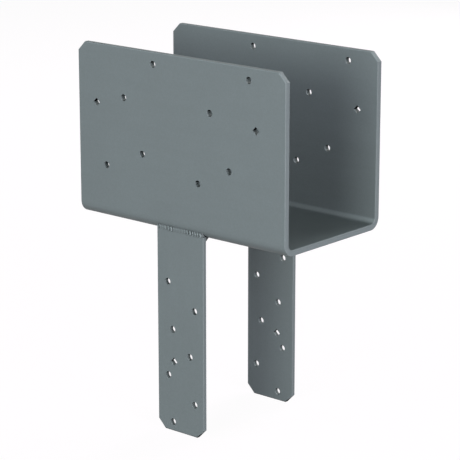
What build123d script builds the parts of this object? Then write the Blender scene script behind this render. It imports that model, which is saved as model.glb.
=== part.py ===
from build123d import *
import os
from math import radians, sin, sqrt

# Column cap for a timber post and the beam it carries. Millimetres, +Z up, X along the beam.
# The origin is the centre of the seat's underside, where the top of the post meets the cap.

# Timber: the beam lies between the flanges, and a post as wide as the beam stands between the straps
timber_width = 139.7

# Saddle: one plate bent into a U
saddle_length = 279.4
saddle_plate = 6.35
flange_height = 177.8  # from the seat's top face to the flange's top edge
inside_bend_radius = 6.35
flange_corner_cut = 9.53  # each leg of the 45 degree cut

# Straps: two flat plates welded under the saddle at its middle
strap_width = 63.5
strap_plate = 4.76
strap_drop = 215.9  # from the seat's underside to the strap's lower end
strap_corner_cut = 9.53

# Radius left on the sheared edges of every plate
edge_round = 0.9

# Screw holes: a round one for each screw that is needed, a diamond for each extra one
round_hole_diameter = 7.14
diamond_hole_side = 6.35
hole_edge_round = 0.15  # left on both rims of every hole

# Rows of two round holes in a flange. The two low rows stand above the seat's underside,
# and the two high rows hang below the flange's top edge
first_row_rise = 57.15
second_row_rise = 76.2
third_row_drop = 52.4
fourth_row_drop = 12.7
diamond_row_drop = 61.9

# Left hole of each row from the plate's left end, right hole from its right end
first_row_ends = (38.7, 113.7)
second_row_ends = (89.5, 72.4)
third_row_ends = (64.2, 97.7)
fourth_row_ends = (105.4, 47.0)
diamond_row_ends = (25.6, 37.6)

# Screws from the two sides have to pass each other: the back flange's round holes are moved
# along the beam, and its two diamonds are measured from the opposite ends
back_flange_shift = 8.7

# Rows of one round hole down a strap, counted up from its lower end
strap_row_pitch = 25.4
strap_row_count = 7
last_row_from_end = 9.9
diamond_from_end = 76.6

# Columns that the holes step between, each from the strap's nearer long edge
left_outer_column = 14.4
left_inner_column = 20.7
right_outer_column = 12.6
right_inner_column = 19.0
diamond_column = 22.3

# Welds that join each strap to the saddle
bead_lap = 1.8  # how far the outer bead comes down over the strap's face
bead_crown = 0.8  # how far a bead stands out from the line between its two toes
bead_end_gap = 0.4  # bare length of strap at each end of a bead
inner_weld_leg = 6.35
inner_weld_crown = 0.4
steepest_toe = 75.0  # degrees round the bend at which the outer bead stops at the latest

# Sizes that follow
outside_bend_radius = inside_bend_radius + saddle_plate
inside_half = timber_width / 2
outside_half = inside_half + saddle_plate
flange_top = saddle_plate + flange_height
bend_start = outside_half - outside_bend_radius
strap_face = inside_half + strap_plate
hole_cut_length = 3 * saddle_plate


def underside_height(y):
    """Height of the saddle's outer surface above the seat's underside, at y from the middle."""
    round_the_bend = max(0.0, y - bend_start)
    return outside_bend_radius - sqrt(outside_bend_radius**2 - round_the_bend**2)


# A strap's square top end touches the bend along its inner edge
strap_top = underside_height(inside_half)


def rounded_block(half, bottom, radius):
    """Section from bottom up to the flanges' top edges, with its two lower corners rounded."""
    outline = FilletPolyline(
        (-half, flange_top), (-half, bottom), (half, bottom), (half, flange_top), radius=radius
    )
    return make_face(Plane.YZ * (outline + Line((half, flange_top), (-half, flange_top))))


def saddle_section():
    """U-shaped section of the bent plate."""
    outside = rounded_block(outside_half, 0, outside_bend_radius)
    inside = rounded_block(inside_half, saddle_plate, inside_bend_radius)
    return outside - inside


def round_rim(plate, sheared_faces, thickness):
    """Rounds the edges where the sheared faces meet the plate's broad faces."""
    rim = ShapeList(
        edge for face in sheared_faces for edge in face.edges() if abs(edge.length - thickness) > 0.01
    )
    return fillet(rim, edge_round)


def round_cutter(x, y, z):
    """Rod across a plate at y, where a round screw hole goes."""
    return Pos(x, y, z) * Rot(90, 0, 0) * Cylinder(round_hole_diameter / 2, hole_cut_length)


def diamond_cutter(x, y, z):
    """Square bar across a plate at y, standing on its corner."""
    return Pos(x, y, z) * Rot(0, 45, 0) * Box(diamond_hole_side, hole_cut_length, diamond_hole_side)


def drill(plate, cutters):
    """Cuts the holes and rounds the rims that they have on the plate's two broad faces."""
    drilled = plate - cutters
    cut_edges = new_edges(plate, *cutters, combined=drilled)
    return fillet(cut_edges.filter_by(Axis.Y, reverse=True), hole_edge_round)


def flange_cutters(y, shift, diamond_ends):
    """Cutters for all holes of the flange at y, with its round holes moved along the beam."""
    half = saddle_length / 2
    rows = (
        (first_row_rise, first_row_ends),
        (second_row_rise, second_row_ends),
        (flange_top - third_row_drop, third_row_ends),
        (flange_top - fourth_row_drop, fourth_row_ends),
    )
    cutters = []
    for height, (left, right) in rows:
        cutters.append(round_cutter(-half + left + shift, y, height))
        cutters.append(round_cutter(half - right + shift, y, height))
    left, right = diamond_ends
    cutters.append(diamond_cutter(-half + left, y, flange_top - diamond_row_drop))
    cutters.append(diamond_cutter(half - right, y, flange_top - diamond_row_drop))
    return cutters


def beam_saddle():
    """The bent plate with its cut corners, rounded edges and screw holes."""
    plate = extrude(saddle_section(), amount=saddle_length / 2, both=True)
    corners = plate.edges().filter_by(Axis.Y).group_by(Axis.Z)[-1]
    plate = chamfer(corners, flange_corner_cut)
    top_faces = plate.faces().filter_by(Axis.Z).group_by(Axis.Z)[-1]
    ends_and_cuts = plate.faces().filter_by(lambda face: abs(face.normal_at().X) > 0.1)
    plate = round_rim(plate, top_faces + ends_and_cuts, saddle_plate)
    flange_middle = inside_half + saddle_plate / 2
    front = flange_cutters(-flange_middle, 0, diamond_row_ends)
    back = flange_cutters(flange_middle, back_flange_shift, diamond_row_ends[::-1])
    return drill(plate, front + back)


def strap_cutters(y):
    """Cutters for the round holes that zigzag down the front strap, and for its diamond."""
    left_edge = -strap_width / 2
    right_edge = strap_width / 2
    columns = (
        left_edge + left_inner_column,
        right_edge - right_outer_column,
        left_edge + left_outer_column,
        right_edge - right_inner_column,
    )
    lowest = last_row_from_end - strap_drop
    highest = -inner_weld_leg - round_hole_diameter
    cutters = [diamond_cutter(left_edge + diamond_column, y, diamond_from_end - strap_drop)]
    for row in range(strap_row_count):
        height = lowest + row * strap_row_pitch
        if height < highest:
            cutters.append(round_cutter(columns[row % len(columns)], y, height))
    return cutters


def front_strap():
    """Flat strap under the front flange, square at its top and with cut corners at its lower end."""
    middle = -(inside_half + strap_plate / 2)
    length = strap_top + strap_drop
    plate = Pos(0, middle, strap_top - length / 2) * Box(strap_width, strap_plate, length)
    corners = plate.edges().filter_by(Axis.Y).group_by(Axis.Z)[0]
    plate = chamfer(corners, strap_corner_cut)
    narrow_faces = plate.faces().filter_by(lambda face: abs(face.normal_at().Y) < 0.1)
    plate = round_rim(plate, narrow_faces.sort_by(Axis.Z)[:-1], strap_plate)
    return drill(plate, strap_cutters(middle))


def back_strap():
    """The same strap turned half round the post's axis."""
    return front_strap().rotate(Axis.Z, 180)


def bead_face(low_toe, high_toe, crown, back_corners):
    """Face between a bead's crowned surface and the corners behind it, in the YZ plane."""
    across = Vector(*high_toe) - Vector(*low_toe)
    outward = Vector(across.Y, -across.X).normalized() * crown
    if outward.dot(Vector(*low_toe) - Vector(*back_corners[0])) < 0:
        outward = outward * -1
    middle = (Vector(*low_toe) + Vector(*high_toe)) * 0.5 + outward
    surface = ThreePointArc(low_toe, middle, high_toe)
    back = Polyline(high_toe, *back_corners, low_toe)
    return make_face(Plane.YZ * (surface + back))


def outer_weld(side):
    """Bead in the groove between a strap's top end and the bend, flush with the strap's face."""
    toe = min(strap_face, bend_start + outside_bend_radius * sin(radians(steepest_toe)))
    low_toe = (side * strap_face, strap_top - bead_lap)
    high_toe = (side * toe, underside_height(toe))
    back_corners = ((side * inside_half, high_toe[1]), (side * inside_half, low_toe[1]))
    face = bead_face(low_toe, high_toe, bead_crown, back_corners)
    strap_end = Pos(0, side * (inside_half + strap_face) / 2, strap_top - bead_lap)
    strap_end = strap_end * Box(strap_width, strap_plate, 2 * bead_lap)
    bead = extrude(face - saddle_section(), amount=strap_width / 2 - bead_end_gap, both=True)
    return bead - strap_end


def inner_weld(side):
    """Fillet weld in the corner between a strap's inner face and the seat's underside."""
    toe = inside_half - inner_weld_leg
    low_toe = (side * inside_half, strap_top - inner_weld_leg)
    high_toe = (side * toe, underside_height(toe))
    back_corners = ((side * toe, saddle_plate / 2), (side * inside_half, saddle_plate / 2))
    face = bead_face(low_toe, high_toe, inner_weld_crown, back_corners)
    return extrude(face - saddle_section(), amount=strap_width / 2 - bead_end_gap, both=True)


pieces = {
    "beam_saddle": beam_saddle(),
    "front_strap": front_strap(),
    "back_strap": back_strap(),
    "front_outer_weld": outer_weld(-1),
    "front_inner_weld": inner_weld(-1),
    "back_outer_weld": outer_weld(1),
    "back_inner_weld": inner_weld(1),
}

os.makedirs("parts", exist_ok=True)
for name, piece in pieces.items():
    export_step(piece, f"parts/{name}.step")
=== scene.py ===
import math

import bmesh
import bpy
import numpy as np
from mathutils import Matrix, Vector


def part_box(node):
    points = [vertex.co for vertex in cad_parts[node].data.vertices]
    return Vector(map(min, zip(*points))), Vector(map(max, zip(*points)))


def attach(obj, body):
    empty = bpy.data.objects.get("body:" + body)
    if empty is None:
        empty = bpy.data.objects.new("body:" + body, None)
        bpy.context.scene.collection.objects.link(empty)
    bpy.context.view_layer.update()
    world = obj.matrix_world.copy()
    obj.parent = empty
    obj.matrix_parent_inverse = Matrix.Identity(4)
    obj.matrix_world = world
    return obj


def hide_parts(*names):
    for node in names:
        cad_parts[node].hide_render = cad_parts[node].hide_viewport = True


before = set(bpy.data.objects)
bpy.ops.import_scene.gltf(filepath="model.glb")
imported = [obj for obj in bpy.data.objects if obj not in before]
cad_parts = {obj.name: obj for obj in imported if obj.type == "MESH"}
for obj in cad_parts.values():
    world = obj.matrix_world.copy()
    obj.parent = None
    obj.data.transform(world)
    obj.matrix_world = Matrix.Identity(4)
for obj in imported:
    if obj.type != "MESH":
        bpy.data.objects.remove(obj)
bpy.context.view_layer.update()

# Column cap: a bent saddle for the beam over two straps for the post, all under grey paint.
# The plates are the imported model's own nodes and get their paint here. The four weld beads are
# made new, with their ripples. Lengths are millimetres unless a comment says otherwise.

mm = 0.001


# Helpers


def hexColour(code):
    # sRGB hex to the linear colour that shader sockets take
    channels = [int(code[i:i + 2], 16) / 255 for i in (1, 3, 5)]
    linear = [c / 12.92 if c <= 0.04045 else ((c + 0.055) / 1.055) ** 2.4 for c in channels]
    return (*linear, 1.0)


def addNode(tree, kind, inputs=None, **settings):
    # one node: its settings, then each input from a plain value or from another node's socket
    node = tree.nodes.new("ShaderNode" + kind)
    for name, value in settings.items():
        setattr(node, name, value)
    for key, value in (inputs or {}).items():
        if isinstance(value, bpy.types.NodeSocket):
            tree.links.new(value, node.inputs[key])
        else:
            node.inputs[key].default_value = value
    return node


def calculate(tree, operation, *values):
    return addNode(tree, "Math", dict(enumerate(values)), operation=operation).outputs[0]


def mapRange(tree, value, fromLow, fromHigh, toLow, toHigh):
    # the value moved from one range to another and held at its ends
    limits = {"From Min": fromLow, "From Max": fromHigh, "To Min": toLow, "To Max": toHigh}
    return addNode(tree, "MapRange", {"Value": value, **limits}).outputs[0]


def newMaterial(name):
    material = bpy.data.materials.new(name)
    material.use_nodes = True
    tree = material.node_tree
    tree.nodes.clear()
    return material, tree


def withPoles(grid):
    # one row for each vertex: the first and last ring of the grid are drawn together to one point each
    return np.concatenate([grid[:1, 0], grid[1:-1].reshape(-1, *grid.shape[2:]), grid[-1:, 0]])


def closedTube(name, points, shade, material):
    # points[i, j] is ring i along the piece and place j round it, and shade is the share of the
    # coat's value there, which carries painted light and shade
    rings, around = shade.shape
    vertices = withPoles(points)
    j = np.arange(around)
    nextJ = (j + 1) % around
    ring = np.arange(rings - 3)[:, None] * around + 1
    nextRing = ring + around
    quads = np.stack([ring + j, ring + nextJ, nextRing + nextJ, nextRing + j], -1).reshape(-1, 4)
    lastRing = 1 + (rings - 3) * around
    firstFan = np.stack([np.zeros_like(j), 1 + nextJ, 1 + j], -1)
    lastFan = np.stack([np.full_like(j, len(vertices) - 1), lastRing + j, lastRing + nextJ], -1)
    mesh = bpy.data.meshes.new(name)
    mesh.from_pydata(vertices * mm, [], quads.tolist() + firstFan.tolist() + lastFan.tolist())
    shell = bmesh.new()
    shell.from_mesh(mesh)
    bmesh.ops.recalc_face_normals(shell, faces=shell.faces)
    shell.to_mesh(mesh)
    shell.free()
    mesh.polygons.foreach_set("use_smooth", np.ones(len(mesh.polygons), bool))
    mesh.attributes.new("shade", "FLOAT", "POINT").data.foreach_set("value", withPoles(shade))
    mesh.update()
    piece = bpy.data.objects.new(name, mesh)
    bpy.context.scene.collection.objects.link(piece)
    piece.data.materials.append(material)
    return piece


def smoothNoise(rng, x, wavelength):
    # one smooth random value along x: cosine steps between random values one wavelength apart
    place = (x - x.min()) / wavelength
    values = rng.uniform(-1, 1, int(place.max()) + 3)
    cell = place.astype(int)
    blend = (1 - np.cos(np.pi * (place - cell))) / 2
    return values[cell] * (1 - blend) + values[cell + 1] * blend


def smoothStep(low, high, value):
    t = np.clip((value - low) / (high - low), 0, 1)
    return t * t * (3 - 2 * t)


# Paint

paint = {
    "colour": "#758182",
    "roughness": 0.55,
    "roughSpread": 0.04,     # how far the clouds change the roughness both ways
    "specular": 0.35,
    "cloudSize": 45.0,       # soft clouds where the coat is a little thicker or thinner
    "cloudDepth": 0.02,      # share of the colour's value
    "streakSize": 9.0,       # streaks that rolling left in the steel
    "streakDepth": 0.015,
    "speckSize": 1.6,        # dust and dry spray
    "speckDepth": 0.035,
    "peelSize": 2.6,         # orange peel of the coat, drawn coarser than its real 1 mm so that it shows
    "peelHeight": 0.02,
    "scaleSize": 0.9,        # mill scale under the paint
    "scaleHeight": 0.006,
    "cutSize": 0.8,          # spacing of the shear marks along a cut edge
    "cutStretch": 0.08,      # the marks cross the plate's thickness, so they are drawn out that way
    "cutHeight": 0.02,
    "cornerReach": 7.0,      # how near other metal has to be before painted shade falls there
    "upGain": 1.6,           # how much more painted light a hole's walls get where they look up
    "levelLoss": 2.6,        # how much more painted shade a hole's upper and lower walls get
    "shadeFrom": 0.5,         # at this much painted light and below, the painted shade is darkest
    "deepShade": 0.04,       # share of the colour's value there
    "underFrom": -0.26,      # height of the normal below which painted shade starts
    "underShade": 0.52,      # painted shade: share of the value on what looks straight down
    "slantFrom": 0.12,       # slant at which the painted light starts
    "slantTo": 0.35,         # slant at which it is full
    "slantLightGain": 0.45,       # how much lighter the painted light makes it there
    "cutLoss": 0.3,          # how much less painted light the cut corners get, which look along the beam too
}


def paintNodes(tree, grain, slantLightGain):
    # satin alkyd paint sprayed on hot rolled steel, with painted light and shade by which way a place
    # faces and how enclosed it is: returns what feeds each input of its shader
    place = addNode(tree, "TexCoord").outputs["Object"]
    stretched = addNode(tree, "Mapping", {"Vector": place, "Scale": grain}).outputs[0]

    def noise(vector, size, detail):
        settings = {"Vector": vector, "Scale": 1 / (size * mm), "Detail": detail}
        return addNode(tree, "TexNoise", settings).outputs["Fac"]

    clouds = noise(place, paint["cloudSize"], 3.0)
    streaks = noise(stretched, paint["streakSize"], 4.0)
    specks = noise(place, paint["speckSize"], 2.0)
    # Painted light and shade: the walls of holes and the corners under the seat are painted darker,
    # the upper and lower walls of holes most, what looks up at a slant is painted lighter, and what
    # looks down is painted darker.
    # Formula, with x and z of the normal: painted light = 2 * openness + (1 - openness) * facing, where
    # facing = upGain * z - levelLoss * z^2, and slant = z * (1 - z^2) - cutLoss * x^2.
    reach = {"Distance": paint["cornerReach"] * mm}
    openness = addNode(tree, "AmbientOcclusion", reach, samples=12).outputs["AO"]
    normal = addNode(tree, "NewGeometry").outputs["Normal"]
    looks = addNode(tree, "SeparateXYZ", {"Vector": normal}).outputs
    along, up = looks["X"], looks["Z"]
    square = calculate(tree, "MULTIPLY", up, up)
    gained = calculate(tree, "MULTIPLY", up, paint["upGain"])
    facing = calculate(tree, "MULTIPLY_ADD", square, -paint["levelLoss"], gained)
    inside = calculate(tree, "MULTIPLY", facing, calculate(tree, "SUBTRACT", 1.0, openness))
    lightReached = calculate(tree, "MULTIPLY_ADD", openness, 2.0, inside)
    # painted shade in holes and in the corners under the seat
    enclosedShade = mapRange(tree, lightReached, paint["shadeFrom"], 1.0, paint["deepShade"], 1.0)
    # painted light on what looks up at a slant, less on the cut corners
    slant = calculate(tree, "MULTIPLY", up, calculate(tree, "SUBTRACT", 1.0, square))
    onCut = calculate(tree, "MULTIPLY", along, along)
    slant = calculate(tree, "MULTIPLY_ADD", onCut, -paint["cutLoss"], slant)
    slantLight = mapRange(tree, slant, paint["slantFrom"], paint["slantTo"], 1.0, 1 + slantLightGain)
    # painted shade on what looks down
    under = mapRange(tree, up, -1.0, paint["underFrom"], paint["underShade"], 1.0)
    value = calculate(tree, "MULTIPLY", enclosedShade, calculate(tree, "MULTIPLY", slantLight, under))
    # most of a noise's values lie between 0.3 and 0.7
    for source, depth in ((clouds, "cloudDepth"), (streaks, "streakDepth"), (specks, "speckDepth")):
        share = mapRange(tree, source, 0.3, 0.7, 1 - paint[depth], 1 + paint[depth])
        value = calculate(tree, "MULTIPLY", value, share)
    plain = hexColour(paint["colour"])
    colour = addNode(tree, "HueSaturation", {"Value": value, "Color": plain}).outputs[0]
    lowest = paint["roughness"] - paint["roughSpread"]
    highest = paint["roughness"] + paint["roughSpread"]
    roughness = mapRange(tree, clouds, 0.3, 0.7, lowest, highest)
    specular = calculate(tree, "MULTIPLY", enclosedShade, paint["specular"])  # the gloss goes with the painted shade, none where it is darkest
    peel = {"Height": noise(place, paint["peelSize"], 1.0), "Distance": paint["peelHeight"] * mm}
    scale = {"Height": noise(place, paint["scaleSize"], 2.0), "Distance": paint["scaleHeight"] * mm}
    scale["Normal"] = addNode(tree, "Bump", peel).outputs[0]
    bumps = addNode(tree, "Bump", scale).outputs[0]
    return {"Base Color": colour, "Roughness": roughness, "Specular IOR Level": specular, "Normal": bumps}


def finishMaterial(tree, coat):
    surface = addNode(tree, "BsdfPrincipled", coat)
    addNode(tree, "OutputMaterial", {"Surface": surface.outputs[0]})


def paintedPlate(name, grain, endLightGain):
    # alkyd paint on hot rolled plate: an even satin grey, with fine shear marks across its cut edges,
    # and painted light on its end faces, which darkens them where the share given is below 0
    material, tree = newMaterial(name)
    coat = paintNodes(tree, grain, paint["slantLightGain"])
    coordinates = addNode(tree, "TexCoord").outputs
    stretch = {"Vector": coordinates["Object"], "Scale": (1, paint["cutStretch"], 1)}
    across = addNode(tree, "Mapping", stretch).outputs[0]
    pattern = {"Vector": across, "Scale": 1 / (paint["cutSize"] * mm), "Detail": 2.0}
    marks = addNode(tree, "TexNoise", pattern).outputs["Fac"]
    # broad faces look along y, the cut edges don't, and of these the end faces look along x
    facing = addNode(tree, "SeparateXYZ", {"Vector": coordinates["Normal"]}).outputs
    onCut = mapRange(tree, calculate(tree, "ABSOLUTE", facing["Y"]), 0.1, 0.3, 1.0, 0.0)
    onEnd = mapRange(tree, calculate(tree, "ABSOLUTE", facing["X"]), 0.3, 0.6, 0.0, 1.0)
    cut = {"Height": marks, "Distance": paint["cutHeight"] * mm, "Strength": onCut}
    coat["Normal"] = addNode(tree, "Bump", {**cut, "Normal": coat["Normal"]}).outputs[0]
    # painted light on the end faces, changing their value by the given share
    gain = calculate(tree, "MULTIPLY_ADD", onEnd, endLightGain, 1.0)
    lighter = addNode(tree, "HueSaturation", {"Value": gain, "Color": coat["Base Color"]})
    coat["Base Color"] = lighter.outputs[0]
    finishMaterial(tree, coat)
    return material


def paintedWeld():
    # the same paint over weld metal, with painted highlights on the ripples' crests and painted
    # shade in their dips, under the crests, along the bend and on the inner beads
    material, tree = newMaterial("paintedWeldMetal")
    coat = paintNodes(tree, grain=(1, 1, 1), slantLightGain=0.0)
    shade = addNode(tree, "Attribute", attribute_name="shade").outputs["Fac"]
    shaded = addNode(tree, "HueSaturation", {"Value": shade, "Color": coat["Base Color"]})
    coat["Base Color"] = shaded.outputs[0]
    finishMaterial(tree, coat)
    return material


# The saddle was rolled along the beam and the straps along their length, so the streaks run that
# way. Painted light makes the saddle's end faces a little lighter than its sides, and painted
# shade makes the straps' a little darker.
saddlePaint = paintedPlate("paintedSaddlePlate", grain=(0.12, 1, 1), endLightGain=0.08)
strapPaint = paintedPlate("paintedStrapBar", grain=(1, 1, 0.12), endLightGain=-0.02)
weldPaint = paintedWeld()
painted = {"beam_saddle": saddlePaint, "front_strap": strapPaint, "back_strap": strapPaint}
for name, coat in painted.items():
    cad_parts[name].data.materials.clear()
    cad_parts[name].data.materials.append(coat)
print("paint: plates painted")


# Welds

weld = {
    "bendRadius": 12.7,      # of the saddle's outer surface
    "outerLap": 1.8,         # how far the outer bead comes down over the strap's face
    "outerCrown": 1.0,
    "innerLeg": 6.35,
    "innerCrown": 0.4,
    "endGap": 0.4,           # bare strap at each end of a bead
    "endRound": 1.4,         # length over which a bead's end is rounded off
    "rippleSpacing": 3.7,    # from one frozen ripple to the next
    "rippleHeight": 2.0,     # where the ripples are strongest
    "rippleBase": 0.45,      # share of the height that goes into the bead and not out of it
    "rippleRise": 0.6,       # share of the spacing over which a ripple rises: it falls more steeply
    "rippleBow": 1.6,        # how far a ripple's middle runs ahead of its ends
    "drift": 1.1,            # how far a ripple may lie from its even place
    "driftWave": 6.0,        # length over which that changes
    "heightWave": 4.0,       # length over which the ripples' height changes
    "heightMean": 0.75,      # share of the height that they have on average
    "heightSpread": 0.35,    # how far that changes both ways
    "calm": 0.1,             # share of the height in a bead's smooth stretches
    "grooveDepth": 0.5,      # share of the groove's depth that a dip between ripples may take
    "crestHighlight": 0.8,       # painted highlight: how much brighter the coat is on a crest
    "dipShade": 0.85,        # painted shade: how much darker it is in a dip
    "toeShade": 0.45,        # painted shade: how much darker it is along the crease under the bend
    "toeFrom": 0.7,          # share of the way across the bead at which that starts
    "underShade": 0.6,       # painted shadow: how much darker it is right under a crest
    "underPlace": 0.08,      # share of the way across at which that is darkest
    "underWidth": 0.09,
    "cornerShade": 0.5,      # painted shade: share of the coat's value on the inner beads, in the corner under the seat
    "toeStep": 0.04,         # how far behind the strap's face the outer bead's low toe starts
    "rootDepth": 1.5,        # how far out from the strap's inner face its two ends draw in to
    "sink": 0.15,            # how far the hidden back of a bead goes into what it joins
    "alongStep": 0.16,
    "aroundFront": 36,
    "aroundBack": 12,
}

beads = {
    # name: node, which section, seed, and its rough stretches, each as its middle from the strap's
    # middle and its half width
    "frontOuterBead": ("front_outer_weld", "outer", 11, ((-29.5, 2.5), (-14.5, 6.5), (19.5, 11.5))),
    "backOuterBead": ("back_outer_weld", "outer", 12, ((-27.0, 4.0), (-6.0, 7.0), (22.0, 8.0))),
    "frontInnerBead": ("front_inner_weld", "inner", 13, ((-20.0, 9.0), (8.0, 8.0), (28.0, 5.0))),
    "backInnerBead": ("back_inner_weld", "inner", 14, ((-24.0, 6.0), (0.0, 9.0), (24.0, 7.0))),
}

saddleLow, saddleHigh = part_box("beam_saddle")
strapLow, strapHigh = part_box("back_strap")
seatHalf = saddleHigh.y / mm
strapTop = strapHigh.z / mm
strapWidth = (strapHigh.x - strapLow.x) / mm
strapInner = strapLow.y / mm
strapFace = strapHigh.y / mm


def bend(out):
    # height of the bend's outer surface, a circle, at a distance out from the middle
    start = seatHalf - weld["bendRadius"]
    return weld["bendRadius"] - np.sqrt(weld["bendRadius"] ** 2 - np.clip(out - start, 0, None) ** 2)


def section(kind):
    # places as (out from the middle, height): the bead's free side from its low to its high toe, its
    # hidden back, the root that its ends draw in to, and the way that the free side faces
    if kind == "outer":
        low = np.array([strapFace - weld["toeStep"], strapTop - weld["outerLap"]])
        high = np.array([strapFace, bend(strapFace)])
        crown, facing = weld["outerCrown"], 1
        out = np.linspace(strapFace, strapInner, weld["aroundBack"] - 2)
        rest = [[strapInner, strapTop - weld["sink"]], [strapFace - weld["sink"], low[1]]]
        root = np.array([strapInner + weld["rootDepth"], strapTop])
    else:
        low = np.array([strapInner, strapTop - weld["innerLeg"]])
        high = np.array([strapInner - weld["innerLeg"], bend(strapInner - weld["innerLeg"])])
        crown, facing = weld["innerCrown"], -1
        out = np.linspace(high[0], strapInner, weld["aroundBack"] - 1)
        rest = [[strapInner + weld["sink"], strapTop - weld["innerLeg"] / 2]]
        root = np.array([strapInner, strapTop])
    along = high - low
    outward = np.array([along[1], -along[0]]) / np.hypot(*along) * facing
    t = np.linspace(0, 1, weld["aroundFront"])
    line = low + along * t[:, None]
    # The swell leaves the low toe flush and dips into the crease at the high toe.
    # Formula: 27 / 4 * t^2 * (1 - t), which is 1 at its highest, t = 2 / 3.
    swell = crown * 27 / 4 * t * t * (1 - t)
    depth = np.zeros_like(t)
    if kind == "outer":
        # room behind it: to the bend above the strap's top end, and none over the strap itself, coming
        # in smoothly a third of the way across
        radius = weld["bendRadius"]
        bendOut = seatHalf - radius + np.sqrt(radius**2 - (radius - line[:, 1].clip(0)) ** 2)
        depth = np.where(line[:, 1] > strapTop, strapFace - bendOut, 0) * smoothStep(0.25, 0.45, t)
    back = np.vstack([np.stack([out, bend(out) + weld["sink"]], -1), rest])
    return line, swell, depth, outward, back, root


def beadSurface(kind, seed, roughStretches):
    # Formula: ring i is the section at x, drawn in to the root near both ends by the quarter circle
    # sqrt(1 - t^2). Its free side stands out by the swell and by saw-toothed ripples, whose crests bow
    # along x as a parabola of the place across the bead, and whose height is a sum of bells along x.
    rng = np.random.default_rng(seed)
    line, swell, depth, outward, back, root = section(kind)
    length = strapWidth - 2 * weld["endGap"]
    x = np.linspace(-length / 2, length / 2, int(length / weld["alongStep"]))
    across = np.linspace(0, 1, len(line))
    toEnd = (length / 2 - np.abs(x)) / weld["endRound"]
    size = np.sqrt(1 - np.clip(1 - toEnd, 0, 1) ** 2)
    size[[0, -1]] = 0
    bells = sum(np.exp(-((x - middle) / half) ** 4) for middle, half in roughStretches)
    strength = np.clip(weld["calm"] + bells, 0, 1)
    uneven = smoothNoise(rng, x, weld["heightWave"])
    strength = strength * (weld["heightMean"] + weld["heightSpread"] * uneven)
    drift = weld["drift"] * smoothNoise(rng, x, weld["driftWave"])
    bow = weld["rippleBow"] * (1 - (2 * across - 1) ** 2)
    phase = ((x + drift)[:, None] - bow) / weld["rippleSpacing"]
    saw = phase - np.floor(phase)
    rise = weld["rippleRise"]
    crest = smoothStep(0, 1, np.where(saw < rise, saw / rise, (1 - saw) / (1 - rise)))
    # no ripples at the two toes
    edge = smoothStep(0.04, 0.25, across) * smoothStep(1, 0.85, across)
    relief = weld["rippleHeight"] * strength[:, None] * (crest - weld["rippleBase"]) * edge
    stand = np.maximum(swell + relief, -weld["grooveDepth"] * depth)
    free = line + stand[:, :, None] * outward
    sections = np.concatenate([free, np.broadcast_to(back, (len(x), *back.shape))], axis=1)
    sections = root + (sections - root) * size[:, None, None]
    out, height = sections[..., 0], sections[..., 1]
    points = np.stack([np.broadcast_to(x[:, None], out.shape), -out, height], -1)
    high = strength[:, None] * edge * (2 * crest - 1)  # 1 on a strong crest, -1 in a deep dip
    # painted highlights on the crests and painted shade in the dips
    shade = 1 + weld["crestHighlight"] * high.clip(0, 1) + weld["dipShade"] * high.clip(-1, 0)
    # painted shade along the crease under the bend
    shade = shade - weld["toeShade"] * smoothStep(weld["toeFrom"], 1, across)
    # painted shadow right under each crest, near the low toe
    lowLine = np.exp(-(((across - weld["underPlace"]) / weld["underWidth"]) ** 2))
    shade = shade - weld["underShade"] * (strength[:, None] * crest) * lowLine
    # painted shade on the inner beads in the corner under the seat
    if kind == "inner":
        shade = shade * weld["cornerShade"]
    shade = np.pad(shade, ((0, 0), (0, len(back))), mode="edge")
    return points, shade


for name, (node, kind, seed, roughStretches) in beads.items():
    points, shade = beadSurface(kind, seed, roughStretches)
    if node.startswith("back"):  # turned half round the post's axis
        points = points * np.array([-1, -1, 1])
    piece = closedTube(name, points, shade, weldPaint)
    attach(piece, "root")
    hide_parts(node)
print("welds: four rippled beads")


# Floor, lamps and world

stage = {
    "floorColour": "#52444f",  # what the floor gives back to the object
    "floorHalf": 6000.0,
    "floorLift": 0.955,        # what the camera and reflections see on top of the floor's own light
}

lamps = {
    # name: angle round the object from its front, height angle, distance and size in metres, watts,
    # colour
    "rightLamp": (74.0, 4.5, 2.6, 1.4, 61.0, "#fff8ff"),
    "frontLamp": (9.0, 9.0, 2.6, 1.4, 36.0, "#fffffe"),
    "highLeftLamp": (-30.0, 32.0, 2.6, 1.4, 12.0, "#f0f0ff"),
    "highBackLamp": (172.0, 35.0, 2.6, 1.4, 16.0, "#ffffff"),
    "backLamp": (190.0, 10.0, 2.6, 1.4, 40.0, "#ffffff"),
    "leftLamp": (-95.0, 12.0, 2.6, 1.4, 8.0, "#ffffff"),
}


def whiteForCamera(tree, strength):
    # 0 for light that falls on things, the strength for what the camera, reflections and glass see
    path = addNode(tree, "LightPath").outputs
    seen = calculate(tree, "MAXIMUM", path["Is Camera Ray"], path["Is Glossy Ray"])
    seen = calculate(tree, "MAXIMUM", seen, path["Is Transmission Ray"])
    return calculate(tree, "MULTIPLY", seen, strength)


def addFloor():
    material, tree = newMaterial("paleFloor")
    matt = addNode(tree, "BsdfDiffuse", {"Color": hexColour(stage["floorColour"])})
    lift = whiteForCamera(tree, stage["floorLift"])
    glow = addNode(tree, "Emission", {"Color": (1, 1, 1, 1), "Strength": lift})
    both = addNode(tree, "AddShader", {0: matt.outputs[0], 1: glow.outputs[0]})
    addNode(tree, "OutputMaterial", {"Surface": both.outputs[0]})
    half = stage["floorHalf"] * mm
    height = strapLow.z
    mesh = bpy.data.meshes.new("floor")
    mesh.from_pydata(
        [(-half, -half, height), (half, -half, height), (half, half, height), (-half, half, height)],
        [], [(0, 1, 2, 3)],
    )
    floor = bpy.data.objects.new("floor", mesh)
    bpy.context.scene.collection.objects.link(floor)
    floor.data.materials.append(material)


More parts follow.
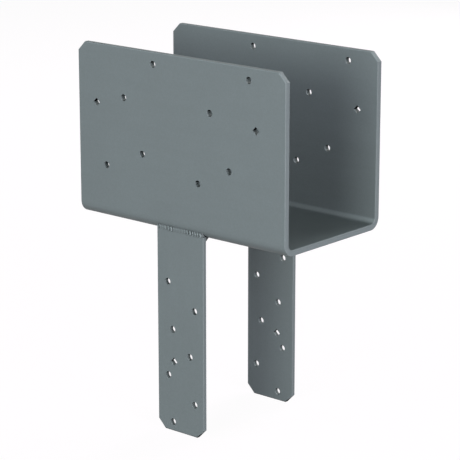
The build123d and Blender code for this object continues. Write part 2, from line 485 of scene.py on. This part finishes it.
def addWorld():
    world = bpy.data.worlds.new("whiteRoom")
    world.use_nodes = True
    tree = world.node_tree
    tree.nodes.clear()
    sky = addNode(tree, "Background", {"Color": (1, 1, 1, 1), "Strength": whiteForCamera(tree, 1.0)})
    addNode(tree, "OutputWorld", {"Surface": sky.outputs[0]})
    bpy.context.scene.world = world


def addLamps():
    for name, (angle, height, distance, size, watts, colour) in lamps.items():
        light = bpy.data.lights.new(name, "AREA")
        light.shape = "DISK"
        light.size = size
        light.energy = watts
        light.color = hexColour(colour)[:3]
        a, e = math.radians(angle), math.radians(height)
        towards = Vector((math.sin(a) * math.cos(e), -math.cos(a) * math.cos(e), math.sin(e)))
        lamp = bpy.data.objects.new(name, light)
        lamp.location = towards * distance
        lamp.rotation_euler = towards.to_track_quat("Z", "Y").to_euler()
        lamp.visible_camera = False
        bpy.context.scene.collection.objects.link(lamp)


addFloor()
addWorld()
addLamps()
print("stage: floor, room and lamps")


# Camera

camera = {
    "azimuth": 40.854,       # degrees from the view along +Y, towards +X
    "elevation": 15.196,
    "distance": 2200.28,
    "right": 2.318,          # how far the aim lies from the origin, across and up the picture
    "up": -10.605,
    "focalPixels": 2103.75,
    "pictureWidth": 460,
    "sensor": 36.0,
}


def addCamera():
    a, e = math.radians(camera["azimuth"]), math.radians(camera["elevation"])
    back = Vector((math.sin(a) * math.cos(e), -math.cos(a) * math.cos(e), math.sin(e)))
    right = Vector((math.cos(a), math.sin(a), 0))
    up = back.cross(right)
    lens = bpy.data.cameras.new("photoCamera")
    lens.sensor_width = camera["sensor"]
    lens.lens = camera["focalPixels"] / camera["pictureWidth"] * camera["sensor"]
    lens.clip_end = 50  # metres
    eye = bpy.data.objects.new("photoCamera", lens)
    eye.location = (back * camera["distance"] + right * camera["right"] + up * camera["up"]) * mm
    eye.rotation_euler = (math.pi / 2 - e, 0, a)
    bpy.context.scene.collection.objects.link(eye)
    bpy.context.scene.camera = eye


addCamera()
bpy.context.scene.view_settings.view_transform = "Standard"
print("camera: at the photo's angle")
